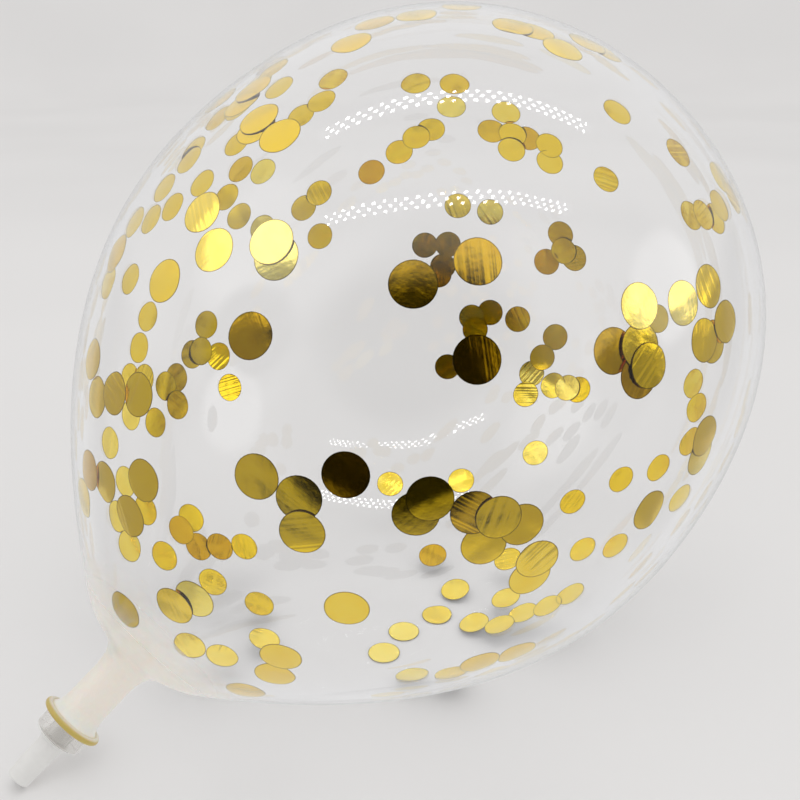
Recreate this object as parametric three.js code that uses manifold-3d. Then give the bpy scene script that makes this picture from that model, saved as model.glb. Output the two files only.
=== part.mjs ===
// A clear latex balloon with an inflation valve in its neck, lying at rest on the floor.
// Millimetres, +Z up, the floor at Z = 0, the origin on the floor under the middle of the whole part.
// The balloon's own axis lies in the XZ plane and climbs from the valve tube's lip to the crown.
// Along that axis a station is a distance from the widest section, with the crown on the positive side.

import * as THREE from 'three';
import { mergeVertices } from 'three/addons/utils/BufferGeometryUtils.js';
import Module from 'manifold-3d';

const wasm = await Module();
wasm.setup();

// How the part lies: on the tube's lip and on a small flat under the belly.
const tiltDeg = 35.1;

// The blown body, from the crown to the shoulder that runs into the throat.
const body = {
  radius: 147,
  crown: 161.5,
  crownFullness: 0.523, // shares of the radius and of the crown's length over which the end stays full
  bellyFullness: 0.695,
  shoulder: 178,
  shoulderRadius: 33.2,
  shoulderSlopeDeg: 55.6,
  shoulderFullness: 0.443,
  shoulderLead: 0.357,
};

// The neck: a throat, a waist, a trumpet drawn over the stopper, and the rolled bead round the mouth.
const neck = {
  radius: 9.4,
  waistTop: 199,
  waistEnd: 211.5,
  throatPull: 0.55,
  trumpetStart: 4.2,
  trumpetFlare: 1.7,
  beadRadius: 1.45,
  beadRing: 12.95,
  beadStation: 221,
  beadWrapDeg: 130,
};

// The clear stopper that the mouth grips: its front shows, and its nose is hidden in the neck.
const stopper = {
  radius: 11.1,
  front: 230,
  edge: 1.6,
  taperStart: 220.5,
  noseRadius: 8,
  nose: 213.5,
};

// The frosted tube pushed into the stopper up to its stop ring, open right through.
const tube = {
  lip: 251.8,
  lipRadius: 5.2,
  rootRadius: 5.7,
  boreRadius: 4.3,
  innerEnd: 219,
  stopRadius: 7.2,
  stopThickness: 1.8,
};

const gap = 0.3; // between pieces that touch
const floorSize = 1000;

// How finely round shapes are cut: facets round the axis, and steps along each stretch of an outline.
const facets = { balloon: 60, valve: 40 };
const steps = { flank: 17, throat: 5, trumpet: 5, bead: 9, edge: 4, stop: 6 };

const radians = THREE.MathUtils.degToRad;
const at = (radius, station) => new THREE.Vector2(radius, station);

// A Bezier stretch of an outline, without its first point.
function stretch(from, fromHandle, toHandle, to, count) {
  return new THREE.CubicBezierCurve(from, fromHandle, toHandle, to).getPoints(count).slice(1);
}

// An arc of an outline about a centre. Angles are in degrees, from straight out, towards the crown.
function arc(centre, radius, startDeg, endDeg, count) {
  return Array.from({ length: count + 1 }, (_, i) => {
    const angle = radians(startDeg + ((endDeg - startDeg) * i) / count);
    return at(centre.x + radius * Math.cos(angle), centre.y + radius * Math.sin(angle));
  });
}

// The outside of the balloon, from the middle of the crown to the inner side of the bead.
function balloonSkin() {
  const crown = at(0, body.crown);
  const widest = at(body.radius, 0);
  const shoulder = at(body.shoulderRadius, -body.shoulder);
  const waist = at(neck.radius, -neck.waistTop);
  const trumpet = at(neck.radius, -neck.waistEnd);
  const bead = arc(at(neck.beadRing, -neck.beadStation), neck.beadRadius,
    neck.beadWrapDeg, -neck.beadWrapDeg, steps.bead);

  const slope = at(Math.sin(radians(body.shoulderSlopeDeg)), Math.cos(radians(body.shoulderSlopeDeg)));
  const lead = body.shoulderLead * shoulder.distanceTo(widest);
  const pull = neck.throatPull * shoulder.distanceTo(waist);

  return [
    crown,
    ...stretch(crown, at(body.crownFullness * body.radius, body.crown),
      at(body.radius, body.bellyFullness * body.crown), widest, steps.flank),
    ...stretch(widest, at(body.radius, -body.shoulderFullness * body.shoulder),
      shoulder.clone().addScaledVector(slope, lead), shoulder, steps.flank),
    ...stretch(shoulder, shoulder.clone().addScaledVector(slope, -pull),
      waist.clone().add(at(0, pull)), waist, steps.throat),
    ...stretch(trumpet, trumpet.clone().sub(at(0, neck.trumpetStart)),
      bead[0].clone().add(at(-neck.trumpetFlare, neck.trumpetFlare / 2)), bead[0], steps.trumpet),
    ...bead,
  ];
}

// The mouth's socket for the stopper, from the bead to the axis.
function stopperSocket() {
  return [
    at(stopper.radius + gap, -neck.beadStation - neck.beadRadius / 2),
    at(stopper.radius + gap, -stopper.taperStart + gap),
    at(stopper.noseRadius + gap, -stopper.nose + gap),
    at(0, -stopper.nose + gap),
  ];
}

function stopperProfile() {
  const bore = tube.rootRadius + gap;
  const edgeCentre = at(stopper.radius - stopper.edge, -stopper.front + stopper.edge);
  return [
    at(bore, -stopper.nose),
    at(stopper.noseRadius, -stopper.nose),
    at(stopper.radius, -stopper.taperStart),
    ...arc(edgeCentre, stopper.edge, 0, -90, steps.edge),
    at(bore, -stopper.front),
    at(bore, -stopper.nose),
  ];
}

function tubeProfile() {
  const stopTop = -stopper.front - gap;
  const stopEdge = tube.stopThickness / 2;
  const stopCentre = at(tube.stopRadius - stopEdge, stopTop - stopEdge);
  return [
    at(tube.boreRadius, -tube.innerEnd),
    at(tube.rootRadius, -tube.innerEnd),
    at(tube.rootRadius, stopTop),
    ...arc(stopCentre, stopEdge, 90, -90, steps.stop),
    at(tube.rootRadius, stopTop - tube.stopThickness),
    at(tube.lipRadius, -tube.lip),
    at(tube.boreRadius, -tube.lip),
    at(tube.boreRadius, -tube.innerEnd),
  ];
}

// Turns a profile that runs from the crown's end to the lip's end about the balloon's axis, local +Y.
function turned(profile, facetsRound) {
  return new THREE.LatheGeometry([...profile].reverse(), facetsRound);
}

// A closed geometry as a solid that can be cut, and back again.
function solidOf(geometry) {
  const bare = geometry.clone();
  bare.deleteAttribute('normal');
  bare.deleteAttribute('uv');
  const merged = mergeVertices(bare);
  return new wasm.Manifold(new wasm.Mesh({
    numProp: 3,
    vertProperties: merged.attributes.position.array,
    triVerts: new Uint32Array(merged.index.array),
  }));
}

function geometryOf(solid) {
  const mesh = solid.getMesh();
  const geometry = new THREE.BufferGeometry();
  geometry.setAttribute('position', new THREE.BufferAttribute(mesh.vertProperties, 3));
  geometry.setIndex(new THREE.BufferAttribute(mesh.triVerts, 1));
  geometry.computeVertexNormals();
  return geometry;
}

// The lying pose: local +Y becomes the climbing axis, and local +X points down at the floor.
const tilt = radians(tiltDeg);
const lying = new THREE.Group();
lying.rotation.set(Math.PI / 2, Math.PI / 2 - tilt, 0, 'YXZ');
lying.position.z = tube.lip * Math.sin(tilt) + tube.lipRadius * Math.cos(tilt);
lying.updateMatrix();

// The balloon is one skin of latex, sealed by the stopper. The floor presses a small flat into its belly.
function makeBalloon() {
  const underFloor = new THREE.BoxGeometry(floorSize, floorSize, floorSize);
  underFloor.translate(0, 0, -floorSize / 2);
  underFloor.applyMatrix4(lying.matrix.clone().invert());
  const blown = turned([...balloonSkin(), ...stopperSocket()], facets.balloon);
  const latex = new THREE.MeshStandardMaterial({
    color: 0xe8e6df, roughness: 0.15, metalness: 0, transparent: true, opacity: 0.35,
  });
  const mesh = new THREE.Mesh(geometryOf(solidOf(blown).subtract(solidOf(underFloor))), latex);
  mesh.name = 'balloon';
  return mesh;
}

function makeStopper() {
  const clearPlastic = new THREE.MeshStandardMaterial({
    color: 0xc8c3be, roughness: 0.12, metalness: 0, transparent: true, opacity: 0.5,
  });
  const mesh = new THREE.Mesh(turned(stopperProfile(), facets.valve), clearPlastic);
  mesh.name = 'valve_stopper';
  return mesh;
}

function makeTube() {
  const frostedPlastic = new THREE.MeshStandardMaterial({ color: 0xd4d2ce, roughness: 0.55, metalness: 0 });
  const mesh = new THREE.Mesh(turned(tubeProfile(), facets.valve), frostedPlastic);
  mesh.name = 'valve_tube';
  return mesh;
}

lying.add(makeBalloon(), makeStopper(), makeTube());

// The origin goes under the middle of the whole part.
const part = new THREE.Group();
part.add(lying);
const extent = new THREE.Box3().setFromObject(part, true);
lying.position.x = -(extent.min.x + extent.max.x) / 2;

export default part;
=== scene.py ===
import math
import random

import bpy
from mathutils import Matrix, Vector


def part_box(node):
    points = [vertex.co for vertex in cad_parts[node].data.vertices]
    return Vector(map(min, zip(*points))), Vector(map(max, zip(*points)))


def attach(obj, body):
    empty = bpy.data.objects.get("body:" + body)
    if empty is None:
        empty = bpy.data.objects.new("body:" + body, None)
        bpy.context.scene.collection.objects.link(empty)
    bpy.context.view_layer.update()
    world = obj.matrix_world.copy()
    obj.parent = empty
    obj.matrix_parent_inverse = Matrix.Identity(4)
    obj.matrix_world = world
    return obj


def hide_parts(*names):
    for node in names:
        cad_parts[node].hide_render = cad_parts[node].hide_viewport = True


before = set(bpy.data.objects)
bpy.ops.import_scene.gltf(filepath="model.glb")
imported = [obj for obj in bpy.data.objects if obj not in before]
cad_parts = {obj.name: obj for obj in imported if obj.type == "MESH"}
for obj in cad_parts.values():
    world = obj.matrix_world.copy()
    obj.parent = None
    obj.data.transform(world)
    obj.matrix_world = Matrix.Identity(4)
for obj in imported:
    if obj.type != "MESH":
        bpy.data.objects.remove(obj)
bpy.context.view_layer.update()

# A clear latex balloon with gold foil dots clinging inside it, lying on its valve and belly.
# Lengths are in millimetres, and turned into metres where a mesh is made.
# A station is a distance along the balloon's axis from its widest section, the crown on the positive side.
# A turn is an angle round that axis, from its upper side towards -Y.

mm = 0.001
sharpCorner = math.radians(42)  # a steeper corner than this isn't smoothed over

# The same driving sizes as the solids.
body = {
    "radius": 147,
    "crown": 161.5,
    "crownFullness": 0.523,
    "bellyFullness": 0.695,
    "shoulder": 178,
    "shoulderRadius": 33.2,
    "shoulderSlope": 55.6,
    "shoulderFullness": 0.443,
    "shoulderLead": 0.357,
}
neck = {
    "radius": 9.4,
    "waistTop": 199,
    "waistEnd": 211.5,
    "throatPull": 0.55,
    "trumpetStart": 4.2,
    "trumpetFlare": 1.7,
    "beadRadius": 1.45,
    "beadRing": 12.95,
    "beadStation": 221,
    "beadWrap": 130,
}
stopper = {
    "radius": 11.1,
    "front": 230,
    "edge": 1.6,
    "taperStart": 220.5,
    "noseRadius": 8,
    "nose": 213.5,
}
tube = {
    "lip": 251.8,
    "lipRadius": 5.2,
    "rootRadius": 5.7,
    "boreRadius": 4.3,
    "innerEnd": 219,
    "stopRadius": 7.2,
    "stopThickness": 1.8,
}
gap = 0.3
tilt = math.radians(35.1)

# The axis as the solids lie: the tube's box gives its place.
axis = Vector((math.cos(tilt), 0, math.sin(tilt)))
upSide = Vector((-math.sin(tilt), 0, math.cos(tilt)))
nearSide = Vector((0, -1, 0))
tubeLow = Vector(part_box("valve_tube")[0])
lip = Vector((tubeLow.x + tube["lipRadius"] * math.sin(tilt) * mm, 0,
              tubeLow.z + tube["lipRadius"] * math.cos(tilt) * mm))
centre = lip + axis * tube["lip"] * mm


def direction(turn):
    angle = math.radians(turn)
    return upSide * math.cos(angle) + nearSide * math.sin(angle)


def placeAt(radius, station, turn):
    return centre + (axis * station + direction(turn) * radius) * mm


# Outlines are lists of (radius, station).

def stretch(start, startHandle, endHandle, end, count):
    points = []
    for i in range(1, count + 1):
        t = i / count
        s = 1 - t
        weights = (s ** 3, 3 * s * s * t, 3 * s * t * t, t ** 3)
        corners = (start, startHandle, endHandle, end)
        points.append(tuple(sum(w * c[k] for w, c in zip(weights, corners)) for k in (0, 1)))
    return points


def arc(middle, radius, startAngle, endAngle, count):
    points = []
    for i in range(count + 1):
        angle = math.radians(startAngle + (endAngle - startAngle) * i / count)
        points.append((middle[0] + radius * math.cos(angle), middle[1] + radius * math.sin(angle)))
    return points


def towards(point, slope, distance):
    return (point[0] + slope[0] * distance, point[1] + slope[1] * distance)


def bodyOutline(flankSteps, throatSteps):
    crown = (0, body["crown"])
    widest = (body["radius"], 0)
    shoulder = (body["shoulderRadius"], -body["shoulder"])
    waist = (neck["radius"], -neck["waistTop"])
    slope = (math.sin(math.radians(body["shoulderSlope"])), math.cos(math.radians(body["shoulderSlope"])))
    lead = body["shoulderLead"] * math.dist(shoulder, widest)
    pull = neck["throatPull"] * math.dist(shoulder, waist)
    return [
        crown,
        *stretch(crown, (body["crownFullness"] * body["radius"], body["crown"]),
                 (body["radius"], body["bellyFullness"] * body["crown"]), widest, flankSteps),
        *stretch(widest, (body["radius"], -body["shoulderFullness"] * body["shoulder"]),
                 towards(shoulder, slope, lead), shoulder, flankSteps),
        *stretch(shoulder, towards(shoulder, slope, -pull), (waist[0], waist[1] + pull), waist, throatSteps),
    ]


# Shader building: a wire is a socket that takes part in arithmetic.

class Wire:
    def __init__(self, maker, socket):
        self.maker = maker
        self.socket = socket

    def math(self, operation, *values):
        return self.maker.node("Math", {"operation": operation}, dict(enumerate((self, *values))))

    def __add__(self, other):
        return self.math("ADD", other)

    def __radd__(self, other):
        return self.math("ADD", other)

    def __sub__(self, other):
        return self.math("SUBTRACT", other)

    def __rsub__(self, other):
        return self.maker.node("Math", {"operation": "SUBTRACT"}, {0: other, 1: self})

    def __mul__(self, other):
        return self.math("MULTIPLY", other)

    def __rmul__(self, other):
        return self.math("MULTIPLY", other)

    def __pow__(self, other):
        return self.math("POWER", other)

    def ramp(self, low, high, toLow=0.0, toHigh=1.0):
        values = {"Value": self, "From Min": low, "From Max": high, "To Min": toLow, "To Max": toHigh}
        return self.maker.node("MapRange", {"interpolation_type": "SMOOTHSTEP"}, values)

    def blend(self, low, high):
        values = {0: self, 6: low, 7: high}
        return self.maker.node("Mix", {"data_type": "RGBA"}, values, out=2)


class Shader:
    def __init__(self, tree):
        self.tree = tree
        tree.nodes.clear()

    def node(self, kind, settings=None, values=None, out=0):
        made = self.tree.nodes.new("ShaderNode" + kind)
        for key, value in (settings or {}).items():
            setattr(made, key, value)
        for key, value in (values or {}).items():
            if isinstance(value, Wire):
                self.tree.links.new(value.socket, made.inputs[key])
            else:
                made.inputs[key].default_value = value
        return Wire(self, made.outputs[out]) if made.outputs else None

    def attribute(self, name):
        return self.node("Attribute", {"attribute_name": name}, out="Fac")

    def noise(self, scale, detail):
        where = self.node("TexCoord", out="Object")
        return self.node("TexNoise", None, {"Vector": where, "Scale": scale, "Detail": detail})

    def bump(self, height, distance, strength=1.0):
        return self.node("Bump", None, {"Height": height, "Distance": distance, "Strength": strength})

    def principled(self, **values):
        return self.node("BsdfPrincipled", None, values)

    def mixShader(self, factor, first, second):
        return self.node("MixShader", None, {0: factor, 1: first, 2: second})

    def surface(self, shader):
        self.node("OutputMaterial", None, {"Surface": shader})


def newMaterial(name):
    material = bpy.data.materials.new(name)
    material.use_nodes = True
    return material, Shader(material.node_tree)


# What a film sends back grows from a few percent face on to everything along its edge.
def sheen(shader, faceOn):
    facing = shader.node("LayerWeight", None, {"Blend": 0.5}, out="Facing")
    return facing, faceOn + (1 - faceOn) * facing ** 5


def meshObject(name, vertices, faces, material, attributes=None):
    mesh = bpy.data.meshes.new(name)
    mesh.from_pydata([tuple(v) for v in vertices], [], faces)
    mesh.polygons.foreach_set("use_smooth", [True] * len(mesh.polygons))
    for key, values in (attributes or {}).items():
        mesh.attributes.new(key, "FLOAT", "POINT").data.foreach_set("value", values)
    mesh.materials.append(material)
    mesh.update()
    mesh.set_sharp_from_angle(angle=sharpCorner)
    made = bpy.data.objects.new(name, mesh)
    bpy.context.scene.collection.objects.link(made)
    return made


# Turns an outline about the axis. An outline that starts and ends on the axis is closed by its two poles,
# and any other one joins its last point to its first.
def turned(name, outline, count, material, adjust=None):
    poles = outline[0][0] == 0
    rings = outline[1:-1] if poles else outline
    vertices = []
    stations = []
    for radius, station in rings:
        for i in range(count):
            vertices.append(placeAt(radius, station, 360 * i / count))
            stations.append(station)
    faces = []
    for ring in range(len(rings) - (1 if poles else 0)):
        here = ring * count
        there = (ring + 1) % len(rings) * count
        for i in range(count):
            j = (i + 1) % count
            faces.append((here + i, there + i, there + j, here + j))
    if poles:
        last = (len(rings) - 1) * count
        for radius, station in (outline[0], outline[-1]):
            vertices.append(placeAt(0, station, 0))
            stations.append(station)
        for i in range(count):
            j = (i + 1) % count
            faces.append((len(vertices) - 2, i, j))
            faces.append((len(vertices) - 1, last + j, last + i))
    if adjust:
        vertices = [adjust(v) for v in vertices]
    return meshObject(name, vertices, faces, material, {"station": stations})


# The latex skin: clear where it is blown out thin, milky in the neck, amber in the rolled bead.

skin = {
    "facets": 144,
    "flankSteps": 40,
    "throatSteps": 14,
    "trumpetSteps": 10,
    "beadSteps": 18,
    "bodyWall": 0.12,
    "neckWall": 0.7,
    "wallBlend": 60,  # the length over which the neck's wall thins out
    "inset": 0.08,  # keeps the skin just inside the solid
    "overFloor": 0.1,
    "faceOnSheen": 0.035,
    # the share of painted dark shade along the skin's outline
    "paintedRimShade": 0.4,
    "milkStart": -162,
    "milkFull": -198,
    "milkColour": (0.80, 0.765, 0.69, 1),
    "milkShare": 0.9,
    "beadStart": -219.2,
    "beadFull": -220.4,
    "beadColour": (0.52, 0.40, 0.10, 1),
    "beadShare": 0.08,
}


def latexMaterial():
    material, shader = newMaterial("clearLatex")
    station = shader.attribute("station")
    milk = station.ramp(skin["milkStart"], skin["milkFull"])
    bead = station.ramp(skin["beadStart"], skin["beadFull"])
    facing, reflect = sheen(shader, skin["faceOnSheen"])
    ripple = shader.bump(shader.noise(9.0, 3.0), 0.0006)
    clear = shader.node("BsdfTransparent", None, {"Color": (1, 1, 1, 1)})
    gloss = shader.principled(**{
        "Base Color": (0.95, 0.95, 0.96, 1), "Metallic": 1.0, "Roughness": 0.02, "Normal": ripple,
    })
    film = shader.mixShader(reflect, clear, gloss)
    # A dark grey mixed in where the film turns edge-on: painted shade along the skin's outline, a thin dark
    # line standing in for the dark room reflected there.
    paintedShade = shader.principled(**{"Base Color": (0.10, 0.09, 0.09, 1), "Roughness": 0.4})
    filmWithPaintedRim = shader.mixShader(skin["paintedRimShade"] * facing ** 24, film, paintedShade)
    wrinkle = shader.bump(shader.noise(420.0, 2.0), 0.0003)
    colour = bead.blend(skin["milkColour"], skin["beadColour"])
    milky = shader.principled(**{
        "Base Color": colour, "Roughness": 0.38, "Subsurface Weight": 0.25, "Subsurface Scale": 0.002,
        "Normal": wrinkle,
    })
    shader.surface(shader.mixShader(milk * skin["milkShare"] + bead * skin["beadShare"], filmWithPaintedRim, milky))
    return material


def skinOutline():
    share = 1 - skin["inset"] / body["radius"]
    blown = bodyOutline(skin["flankSteps"], skin["throatSteps"])
    outer = [(radius * share, station * share) for radius, station in blown]
    trumpet = (neck["radius"], -neck["waistEnd"])
    bead = arc((neck["beadRing"], -neck["beadStation"]), neck["beadRadius"],
               neck["beadWrap"], -neck["beadWrap"], skin["beadSteps"])
    flare = neck["trumpetFlare"]
    outer += [trumpet, *stretch(trumpet, (trumpet[0], trumpet[1] - neck["trumpetStart"]),
                                (bead[0][0] - flare, bead[0][1] + flare / 2), bead[0],
                                skin["trumpetSteps"])]
    inner = []
    for i, (radius, station) in enumerate(blown):
        before = blown[max(i - 1, 0)]
        after = blown[min(i + 1, len(blown) - 1)]
        along = math.dist(before, after)
        outward = ((before[1] - after[1]) / along, (after[0] - before[0]) / along)
        thin = min(1, max(0, (station + neck["waistTop"]) / skin["wallBlend"]))
        wall = skin["neckWall"] + (skin["bodyWall"] - skin["neckWall"]) * thin
        if radius == 0:
            inner.append((0, station - wall))
        else:
            inner.append((radius - outward[0] * wall, station - outward[1] * wall))
    socket = [
        (stopper["radius"] + gap, -neck["beadStation"] - neck["beadRadius"] / 2),
        (stopper["radius"] + gap, -stopper["taperStart"] + gap),
        (stopper["noseRadius"] + gap, -stopper["nose"] + gap),
        (neck["radius"] - skin["neckWall"], -neck["waistEnd"]),
    ]
    return [*outer, *bead[1:], *socket, *reversed(inner)]


def restOnFloor(point):
    return Vector((point.x, point.y, max(point.z, skin["overFloor"] * mm)))


def makeSkin():
    made = turned("latexSkin", skinOutline(), skin["facets"], latexMaterial(), restOnFloor)
    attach(made, "root")
    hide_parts("balloon")
    made.visible_shadow = False  # so thin a film throws no shadow that shows
    made.visible_diffuse = False
    print("skin", len(made.data.polygons), "faces")


# The valve: a clear stopper in the mouth and a frosted tube pushed into it up to its stop ring.

valve = {
    "facets": 96,
    "plasticTint": (0.97, 0.965, 0.96, 1),
    "haze": (0.74, 0.72, 0.68, 1),
    "lipBevel": 0.3,
    "frost": (0.79, 0.78, 0.76, 1),
}


def clearPlasticMaterial():
    material, shader = newMaterial("clearPlastic")
    facing, reflect = sheen(shader, 0.07)
    clear = shader.node("BsdfTransparent", None, {"Color": valve["plasticTint"]})
    scratches = shader.bump(shader.noise(900.0, 2.0), 0.0001)
    gloss = shader.principled(**{
        "Base Color": (0.9, 0.9, 0.9, 1), "Metallic": 1.0, "Roughness": 0.12, "Normal": scratches,
    })
    film = shader.mixShader(reflect, clear, gloss)
    haze = shader.principled(**{"Base Color": valve["haze"], "Roughness": 0.3})
    shader.surface(shader.mixShader(0.22 + 0.5 * facing ** 3, film, haze))
    return material


def frostedMaterial():
    material, shader = newMaterial("frostedPlastic")
    grain = shader.noise(1400.0, 3.0)
    cloud = shader.noise(120.0, 2.0)
    light = tuple(1.08 * c for c in valve["frost"][:3]) + (1,)
    colour = cloud.ramp(0.3, 0.7).blend(valve["frost"], light)
    shader.surface(shader.principled(**{
        "Base Color": colour, "Roughness": grain.ramp(0.3, 0.7, 0.45, 0.6), "Alpha": 0.88,
        "Normal": shader.bump(grain, 0.00008),
    }))
    return material


def makeStopper():
    bore = tube["rootRadius"] + gap
    edge = stopper["edge"]
    outline = [
        (bore, -stopper["nose"]),
        (stopper["noseRadius"], -stopper["nose"]),
        (stopper["radius"], -stopper["taperStart"]),
        *arc((stopper["radius"] - edge, -stopper["front"] + edge), edge, 0, -90, 10),
        (bore, -stopper["front"]),
    ]
    made = turned("clearStopper", outline, valve["facets"], clearPlasticMaterial())
    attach(made, "root")
    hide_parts("valve_stopper")


def makeTube():
    top = -stopper["front"] - gap
    edge = tube["stopThickness"] / 2
    bevel = valve["lipBevel"]
    outline = [
        (tube["boreRadius"], -tube["innerEnd"]),
        (tube["rootRadius"], -tube["innerEnd"]),
        (tube["rootRadius"], top),
        *arc((tube["stopRadius"] - edge, top - edge), edge, 90, -90, 12),
        (tube["rootRadius"], top - tube["stopThickness"]),
        (tube["lipRadius"], -tube["lip"] + bevel),
        (tube["lipRadius"] - bevel, -tube["lip"]),
        (tube["boreRadius"], -tube["lip"]),
    ]
    made = turned("frostedTube", outline, valve["facets"], frostedMaterial())
    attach(made, "root")
    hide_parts("valve_tube")
    print("valve made")


# The foil dots cling to the inside of the skin, each bent to it and a little wavy.

foil = {
    "radius": 8.1,
    "thickness": 0.08,
    "clearance": 0.45,
    "layerStep": 0.45,
    "rings": 3,
    "facets": 30,
    "wave": 0.12,
    "curls": (0, 0, 0.3, 0.8),
    "crumples": (0, 0.1, 0.5, 1),
    # deep and pale are a shaded and a lit copy of the gold: painted shade and painted light.
    "deep": (0.64, 0.36, 0.01, 1),
    "gold": (0.88, 0.62, 0.022, 1),
    "pale": (0.97, 0.84, 0.24, 1),
    "darkRim": (0.16, 0.09, 0.01, 1),
}

# (station, turn, painted shade), the painted shade from 0, deep, to 1, pale: painted light and shade on each
# dot, standing in for how dark or bright a part of the room it mirrors.
dotsAbove = [
    (-4, 8, 0.6), (-8, 9, 0.5), (-7, 14.5, 0.6), (9, -1, 0.6), (1, 0, 0.6), (2, -9, 0.7),
    (-44.5, 12, 0.8), (-53, 18.5, 0.8), (-70.5, 12.5, 0.7), (-40, 26, 1), (-43, 28, 1), (-67.5, 32, 0.2),
    (-71, -7, 0.4), (45, 7, 0.6), (62, 4, 0.5), (33, -15, 0.6), (92, 23, 0.7), (97, 26, 0.7),
    (95, 33, 0.8), (112, 33, 0.8), (116, 36, 0.8), (95, 9, 0.8), (75, 8, 0.8), (-106.5, -3, 0.4),
    (-116, 2.5, 0.5), (-110.5, 10, 0.4), (-105.5, 17, 0.5), (-138, 3, 0.2), (-148, -2, 0.8),
    (-137, 12, 0.5), (-126, 26, 0.4), (-139, 25, 0.4), (-168, 33, 0.6),
]
dotsInFront = [
    (-2, 49, 0.2), (-22, 45, 0.2), (30, 69, 0.9), (21, 73, 0.7), (19, 76, 0.6), (14, 76, 0.1),
    (12, 70.5, 0.2), (46, 74.5, 0.9), (61, 77, 0.7), (60, 84, 0.6), (46, 82, 0.6), (50, 84, 0.5),
    (-99, 46, 0.4), (-95, 53.5, 0.5), (-102, 58, 0.5), (-79.5, 56, 0.1), (-66.5, 67, 0.4),
    (-73, 67.5, 0.4), (-54.5, 76, 0.4), (-50.5, 79.5, 0.35), (-64, 78.5, 0.4), (-59.5, 73, 0.2),
    (-53.5, 86.5, 0.7), (-59, 89, 0.7), (-110, 75, 0.7), (-152, 50, 0.7), (-145, 53, 0.9),
    (-25.5, 57.5, 0.1), (-10, 95, 0.6), (26, 94.5, 0.5), (21, 97, 0.8), (-139, 81, 0.7),
    (-146.5, 89, 0.6), (-160, 99, 0.5), (-90, 106, 0.5), (-77.5, 109, 0.5), (-186, -6, 0.4),
]
dotsBehind = [
    (40, -33, 0.6), (47, -29, 0.6), (53, -40, 0.7), (17, -36, 0.7), (29, -38, 0.9), (63, -54, 0.6),
    (75, -52, 0.6), (82, -46, 0.7), (25, -50, 0.6), (22, -58, 0.3), (33, -63, 0.9), (0, -40, 0.7),
    (-4, -42, 0.7), (-22, -43, 0.7), (-1, -53, 0.7), (-22, -51, 0.6), (-45, -41, 0.7), (-36, -47, 0.7),
    (8, -62, 0.5), (9, -69, 0.7), (17, -76, 0.9), (44, -79, 0.6), (56, -78, 0.5), (43, -88, 0.6),
    (87, -81, 0.1), (104, -79, 0.5), (114, -76, 0.6), (121, -75, 0.6), (-63, -53, 0.7), (-74, -43, 0.8),
    (-68, -66, 0.7), (-83, -68, 0.7), (-45, -83, 0.5), (-63, -84.5, 0.4), (-58, -86, 0.6),
    (-52, -91, 0.5), (-60, -98.5, 0.5), (-79, -84, 0.3), (-87, -82, 0.5), (-90, -88, 0.3),
    (-105, -84, 0.6), (-98, -69, 0.7), (-93, -74, 0.7), (-111, -74, 0.8), (-128, -67, 0.8),
    (119, -55, 0.7), (133, -56, 0.4), (131, -67, 0.9), (147, -71, 0.8), (141.5, -81, 0.3),
    (147, -84, 0.5), (150, -88, 0.2), (145, -92, 0.7), (154, -95, 0.6), (152, -106, 0.7),
    (160.5, 15, 0.7), (157, 90, 0.7), (158, -143, 0.7), (115, -104, 0.8), (125, -112, 0.9),
    (89, -108, 0.4), (99, -112, 0.4), (89, -116, 0.3), (84, -117, 0.2), (89, -135, 0.6),
    (80, -132, 0.9), (76, -135, 0.5), (96, -142.5, 0.4), (100, -155, 0.3), (87, -155, 0.3),
    (76, -155, 0.9), (64, -157, 0.8), (77, -162, 0.8), (80, -166, 0.9), (82, -169, 0.6),
    (127, -139, 0.1), (139, -137, 0.3), (135, -142, 0.4), (135, -147, 0.4), (127, 172, 0.7),
    (153, 135, 0.8), (151, 124, 0.7), (148, 118, 0.7), (147, 107, 0.7), (145, 90, 0.8),
    (139, 93, 0.8), (101.5, 153.7, 0.8), (90, 150, 0.7),
]
dotsBelow = [
    (-129, -110, 0.6), (-137, -109, 0.2), (-137, -118, 0.1), (-130, -124, 0.1), (-121, -130, 0.5),
    (-151, -108, 0.5), (-145, -131, 0.7), (-137, -149, 0.6), (-137, -79, 0.8), (-151, -78, 0.8),
    (-158, -88, 0.8), (-141, -92, 0.6), (-171.5, -151, 0.8), (-165, -166, 0.8), (-147, -164, 0.8),
    (-97.5, 176, 0.9), (-112, 171, 0.9), (-110, 156, 0.9), (-33.5, -145.5, 0.8), (-3, -158, 0.8),
    (37.5, -168.5, 0.9), (47.7, -136, 0.2), (23, 174.7, 0.4), (46, 166, 0.4), (57.5, 156.6, 0.6),
    (73, 149, 0.7), (41.5, 143, 0.8), (0.5, 163, 0.7), (9, 154.7, 0.7), (-26, 155, 0.8),
    (-38, 157, 0.8), (-48, 161, 0.8), (-61, 162, 0.8), (-68, 168, 0.8), (-59, -179, 0.8),
    (-77.5, 177, 0.8), (-51, -167, 0.2), (-26, 178, 0.7), (-46, 169, 0.8), (-97, 150, 0.8),
]


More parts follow.
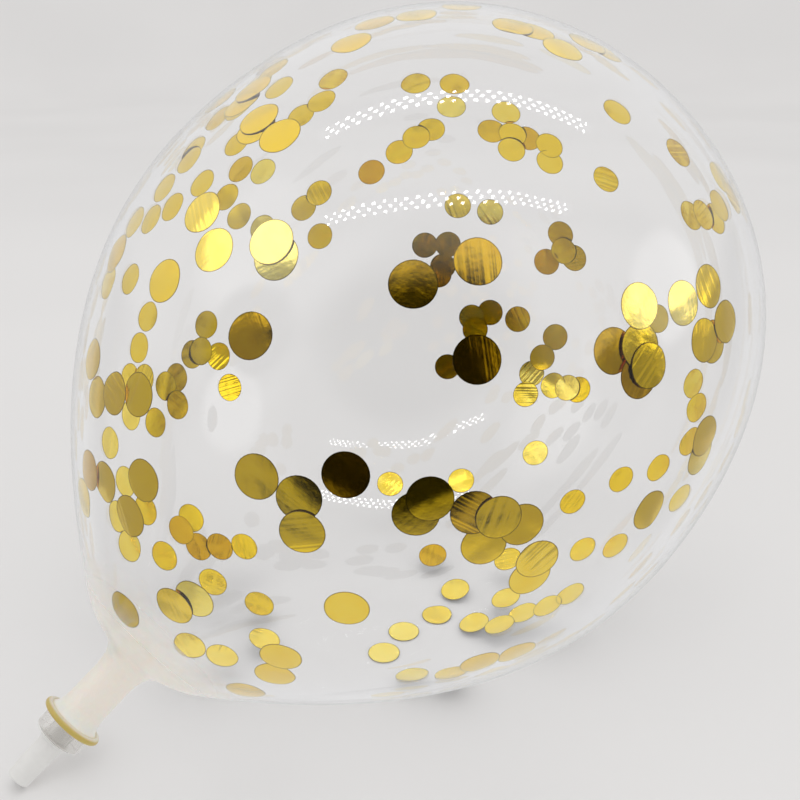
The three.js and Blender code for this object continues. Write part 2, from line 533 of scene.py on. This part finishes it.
def foilMaterial():
    material, shader = newMaterial("goldFoil")
    # Each dot's colour runs from deep through gold to pale by its painted shade, mottled a little at random.
    paintedShade = shader.attribute("paintedShade")
    mottledPaintedShade = paintedShade + (shader.noise(160.0, 3.0) - 0.5) * 0.2
    colour = mottledPaintedShade.ramp(0.0, 0.5).blend(foil["deep"], foil["gold"])
    colour = mottledPaintedShade.ramp(0.6, 1.1).blend(colour, foil["pale"])
    # Each dot's colour darkens to near black along its outer rim.
    colour = shader.attribute("reach").ramp(0.94, 1.0).blend(colour, foil["darkRim"])
    grain = shader.noise(2600.0, 2.0)
    creases = shader.noise(240.0, 2.0)
    streaks = shader.node("TexNoise", {"noise_dimensions": "1D"},
                          {"W": shader.attribute("streak"), "Scale": 0.5, "Detail": 1.0})
    height = creases + 0.1 * grain + 2.2 * shader.attribute("crumple") * streaks
    shader.surface(shader.principled(**{
        "Base Color": colour, "Metallic": 1.0, "Roughness": grain.ramp(0.3, 0.7, 0.12, 0.2),
        "Normal": shader.bump(height, 0.0003, 0.4),
    }))
    return material


# Where a dot lies on the skin's outline: its radius, the way out, and how the skin bends both ways.
def skinAt(station, outline):
    for i in range(1, len(outline) - 1):
        if outline[i][1] <= station:
            break
    before = outline[i - 1]
    here = outline[i]
    after = outline[i + 1]
    share = (before[1] - station) / max(before[1] - here[1], 1e-9)
    radius = before[0] + (here[0] - before[0]) * share
    along = math.dist(before, after)
    down = ((after[0] - before[0]) / along, (after[1] - before[1]) / along)
    outward = (-down[1], down[0])
    first = math.atan2(here[0] - before[0], before[1] - here[1])
    second = math.atan2(after[0] - here[0], here[1] - after[1])
    bendAlong = max(0, (first - second) / (along / 2))
    bendRound = outward[0] / max(radius - 4, 1)
    return radius, down, outward, bendAlong, bendRound


# Draws the dots of one mesh. What is placed already is shared, so that dots lie in layers.
class DotMaker:
    def __init__(self, seed, placed):
        self.random = random.Random(seed)
        self.outline = bodyOutline(400, 120)
        self.vertices = []
        self.faces = []
        self.marks = {"paintedShade": [], "reach": [], "streak": [], "crumple": []}
        self.placed = placed

    def layerFor(self, point):
        taken = {layer for other, layer in self.placed if (other - point).length < 2 * foil["radius"] * mm}
        layer = 0
        while layer in taken:
            layer += 1
        self.placed.append((point, layer))
        return layer

    def add(self, station, turn, paintedShade):
        radius, down, outward, bendAlong, bendRound = skinAt(station, self.outline)
        spoke = direction(turn)
        lengthwise = axis * down[1] + spoke * down[0]
        out = axis * outward[1] + spoke * outward[0]
        sideways = lengthwise.cross(out)
        middle = placeAt(radius, station, turn)
        depth = foil["clearance"] + foil["layerStep"] * self.layerFor(middle)
        waveTurn = self.random.uniform(0, math.tau)
        wavePhase = self.random.uniform(0, math.tau)
        curlTurn = self.random.uniform(0, math.tau)
        curl = self.random.choice(foil["curls"])
        streakTurn = self.random.uniform(0, math.tau)
        streakStart = self.random.uniform(0, 900)
        crumple = self.random.choice(foil["crumples"])

        def surfacePoint(share, angle, under):
            u = foil["radius"] * share * math.cos(angle)
            v = foil["radius"] * share * math.sin(angle)
            streak = streakStart + foil["radius"] * share * math.cos(angle - streakTurn)
            for key, value in zip(self.marks, (paintedShade, share, streak, crumple)):
                self.marks[key].append(value)
            inward = depth + (bendAlong * u * u + bendRound * v * v) / 2 + under
            inward += foil["wave"] * math.sin(wavePhase + 4 * share * math.cos(angle - waveTurn))
            inward += curl * max(0, share * math.cos(angle - curlTurn) - 0.2) ** 2
            point = middle + (lengthwise * u + sideways * v - out * inward) * mm
            return Vector((point.x, point.y, max(point.z, (depth + under) * mm)))

        start = len(self.vertices)
        count = foil["facets"]
        for under in (0, foil["thickness"]):
            self.vertices.append(surfacePoint(0, 0, under))
            for ring in range(1, foil["rings"] + 1):
                for i in range(count):
                    self.vertices.append(surfacePoint(ring / foil["rings"], math.tau * i / count, under))
        side = 1 + foil["rings"] * count
        for i in range(count):
            j = (i + 1) % count
            self.faces.append((start, start + 1 + i, start + 1 + j))
            self.faces.append((start + side, start + side + 1 + j, start + side + 1 + i))
            for ring in range(foil["rings"] - 1):
                a = start + 1 + ring * count
                b = a + count
                self.faces.append((a + i, b + i, b + j, a + j))
                self.faces.append((side + a + i, side + a + j, side + b + j, side + b + i))
            rim = start + 1 + (foil["rings"] - 1) * count
            self.faces.append((rim + i, side + rim + i, side + rim + j, rim + j))


def makeDots():
    material = foilMaterial()
    groups = {"dotsAbove": dotsAbove, "dotsInFront": dotsInFront, "dotsBehind": dotsBehind,
              "dotsBelow": dotsBelow}
    placed = []
    for seed, (name, places) in enumerate(groups.items()):
        maker = DotMaker(seed, placed)
        for station, turn, paintedShade in places:
            maker.add(station, turn, paintedShade)
        made = meshObject(name, maker.vertices, maker.faces, material, maker.marks)
        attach(made, "root")
    print("dots", len(placed))


# The camera and the studio.

view = {
    "azimuth": -35.3,
    "elevation": 22.6,
    "distance": 437.7,
    "left": 7.7,
    "down": 20.5,
    "lens": 41.1,
}
azimuth = math.radians(view["azimuth"])
elevation = math.radians(view["elevation"])
back = Vector((math.sin(azimuth) * math.cos(elevation), -math.cos(azimuth) * math.cos(elevation),
               math.sin(elevation)))
right = Vector((math.cos(azimuth), math.sin(azimuth), 0))
up = back.cross(right)

studio = {
    "bounces": 6,
    "clearBounces": 16,
    "floorColour": (0.80, 0.79, 0.785, 1),
    "floorDim": 0.97,
    "floorFacets": 96,
    "floorFlat": 3.4,  # metres: where the floor starts to rise, how tightly, and to what height
    "sweep": 1.4,
    "wall": 4.0,
    "paleLight": 0.88,
    "table": 0.80,  # what polished things see: the table, the room round it, the upper walls and the ceiling
    "roomRound": 0.46,
    "upperWall": 0.80,
    "ceiling": 1.0,
    # what stands in the room: (sideways angle, lift, inner radius, outer radius, brightness)
    "patches": (
        (-60, 34, 11, 22, 1.7),  # a window on the left
        (78, 11, 10, 15, 1.8),  # a window on the right, over a dark sill
        (68, -9, 10, 14, 0.27),
        (-50, 8, 12, 18, 0.28),  # a dark doorway
        (0, -12, 31, 48, 0.0),  # the onlooker
    ),
    "lampPlace": (-0.2, -0.3, 1.6),  # metres, from the balloon's widest section
    "lampSize": 1.4,
    "lampEnergy": 4,
}
strips = {
    "height": 480,  # above the balloon's widest section
    "rows": 3,
    "rowStep": 13,
    "ledSize": 8,
    "ledStrength": 16,
    "boardStrength": 1.2,
    "boardLift": 2,
    "lampCorners": 8,
    # one for each strip: how far towards the camera, its two ends sideways, and the pitch of its lamps
    "places": ((255, -221, 368, 24), (5, -186, 319, 20)),
}


def makeCamera():
    camera = bpy.data.objects.new("camera", bpy.data.cameras.new("camera"))
    bpy.context.scene.collection.objects.link(camera)
    camera.data.lens = view["lens"]
    camera.data.sensor_width = 36
    camera.data.clip_start = 0.01
    camera.location = centre + (back * view["distance"] - right * view["left"] - up * view["down"]) * mm
    camera.rotation_euler = (math.pi / 2 - elevation, 0, azimuth)
    bpy.context.scene.camera = camera


def makeFloor():
    material, shader = newMaterial("paleFloor")
    cloud = shader.noise(1.5, 2.0)
    dim = tuple(studio["floorDim"] * c for c in studio["floorColour"][:3]) + (1,)
    shader.surface(shader.principled(**{
        "Base Color": cloud.ramp(0.3, 0.7).blend(dim, studio["floorColour"]), "Roughness": 0.8,
        "Specular IOR Level": 0.1,
    }))
    flat = studio["floorFlat"]
    sweep = studio["sweep"]
    rise = [(flat + sweep * math.sin(math.radians(a)), sweep - sweep * math.cos(math.radians(a)))
            for a in range(0, 91, 9)]
    outline = [(flat * i / 6, 0) for i in range(1, 6)] + rise + [(flat + sweep, studio["wall"])]
    count = studio["floorFacets"]
    vertices = [(0, 0, 0)]
    for radius, height in outline:
        for i in range(count):
            angle = math.tau * i / count
            vertices.append((radius * math.cos(angle), radius * math.sin(angle), height))
    faces = [(0, 1 + i, 1 + (i + 1) % count) for i in range(count)]
    for ring in range(len(outline) - 1):
        a = 1 + ring * count
        b = a + count
        faces += [(a + i, b + i, b + (i + 1) % count, a + (i + 1) % count) for i in range(count)]
    floor = meshObject("studioFloor", vertices, faces, material)
    floor.visible_diffuse = False
    floor.visible_glossy = False
    floor.visible_shadow = False


# A direction given by its sideways angle and its lift, both from the line back to the camera.
def seenFrom(sideways, lift):
    side = math.radians(sideways)
    rise = math.radians(lift)
    return tuple((back * math.cos(side) + right * math.sin(side)) * math.cos(rise) + up * math.sin(rise))


def sine(angle):
    return math.sin(math.radians(angle))


def cosine(angle):
    return math.cos(math.radians(angle))


# The room gives an even pale light. Polished things see more of it: a table, dim sides, a bright ceiling,
# and what stands in the room.
def makeRoom():
    world = bpy.data.worlds.new("paleRoom")
    bpy.context.scene.world = world
    world.use_nodes = True
    shader = Shader(world.node_tree)
    where = shader.node("TexCoord", out="Generated")

    def along(way):
        return shader.node("VectorMath", {"operation": "DOT_PRODUCT"}, {0: where, 1: way}, out="Value")

    height = along((0, 0, 1))
    ahead = along(tuple(back))
    band = height.ramp(sine(-46), sine(-36)) * (1 - height.ramp(sine(3), sine(13)))
    band = band * ahead.ramp(-0.6, -0.35)
    level = studio["table"] + height.ramp(0, sine(60)) * (studio["ceiling"] - studio["table"])
    level = level + band * (studio["roomRound"] - studio["table"])
    for sideways, lift, inner, outer, brightness in studio["patches"]:
        spot = along(seenFrom(sideways, lift)).ramp(cosine(outer), cosine(inner))
        level = level * (1 - spot) + spot * brightness
    polished = shader.node("LightPath", out="Is Glossy Ray")
    level = studio["paleLight"] * (1 - polished) + level * polished
    background = shader.node("Background", None, {"Strength": level, "Color": (1, 0.995, 0.99, 1)})
    shader.node("OutputWorld", None, {"Surface": background})


def glowMaterial(name, strength):
    material, shader = newMaterial(name)
    shader.surface(shader.node("Emission", None, {"Strength": strength}))
    return material


# Two lamp strips hang over the balloon, and show only as rows of dots in the film.
def makeStrips():
    forward = Vector((back.x, back.y, 0)).normalized()
    lamps = []
    lampFaces = []
    boards = []
    boardFaces = []
    for ahead, leftEnd, rightEnd, pitch in strips["places"]:
        middle = centre + (forward * ahead + Vector((0, 0, strips["height"]))) * mm
        for row in range(strips["rows"]):
            across = (row - (strips["rows"] - 1) / 2) * strips["rowStep"]
            start = leftEnd + (pitch / 2 if row % 2 else 0)
            for i in range(int((rightEnd - start) / pitch) + 1):
                spot = middle + (right * (start + i * pitch) + forward * across) * mm
                first = len(lamps)
                for corner in range(strips["lampCorners"]):
                    turn = math.tau * corner / strips["lampCorners"]
                    lamps.append(spot + (right * math.cos(turn) + forward * math.sin(turn))
                                 * strips["ledSize"] / 2 * mm)
                lampFaces.append(tuple(range(first, first + strips["lampCorners"])))
        edge = strips["rows"] * strips["rowStep"] / 2
        first = len(boards)
        overRow = Vector((0, 0, strips["boardLift"]))
        for side, reach in ((leftEnd - pitch, -edge), (rightEnd + pitch, -edge),
                            (rightEnd + pitch, edge), (leftEnd - pitch, edge)):
            boards.append(middle + (right * side + forward * reach + overRow) * mm)
        boardFaces.append(tuple(range(first, first + 4)))
    for made in (meshObject("stripLamps", lamps, lampFaces, glowMaterial("lampGlow", strips["ledStrength"])),
                 meshObject("stripBoards", boards, boardFaces,
                            glowMaterial("boardGlow", strips["boardStrength"]))):
        made.visible_camera = False
        made.visible_shadow = False
        made.visible_diffuse = False


def makeLamp():
    lamp = bpy.data.lights.new("softTop", "AREA")
    lamp.shape = "DISK"
    lamp.size = studio["lampSize"]
    lamp.energy = studio["lampEnergy"]
    made = bpy.data.objects.new("softTop", lamp)
    bpy.context.scene.collection.objects.link(made)
    made.location = centre + Vector(studio["lampPlace"])
    made.rotation_euler = (centre - made.location).to_track_quat("-Z", "Y").to_euler()
    made.visible_glossy = False


def makeStudio():
    bpy.context.scene.view_settings.view_transform = "Standard"
    bpy.context.scene.cycles.max_bounces = studio["bounces"]
    bpy.context.scene.cycles.transparent_max_bounces = studio["clearBounces"]
    bpy.context.scene.cycles.caustics_reflective = False
    bpy.context.scene.cycles.caustics_refractive = False
    makeFloor()
    makeRoom()
    makeStrips()
    makeLamp()
    print("studio made")


makeCamera()
makeSkin()
makeStopper()
makeTube()
makeDots()
makeStudio()
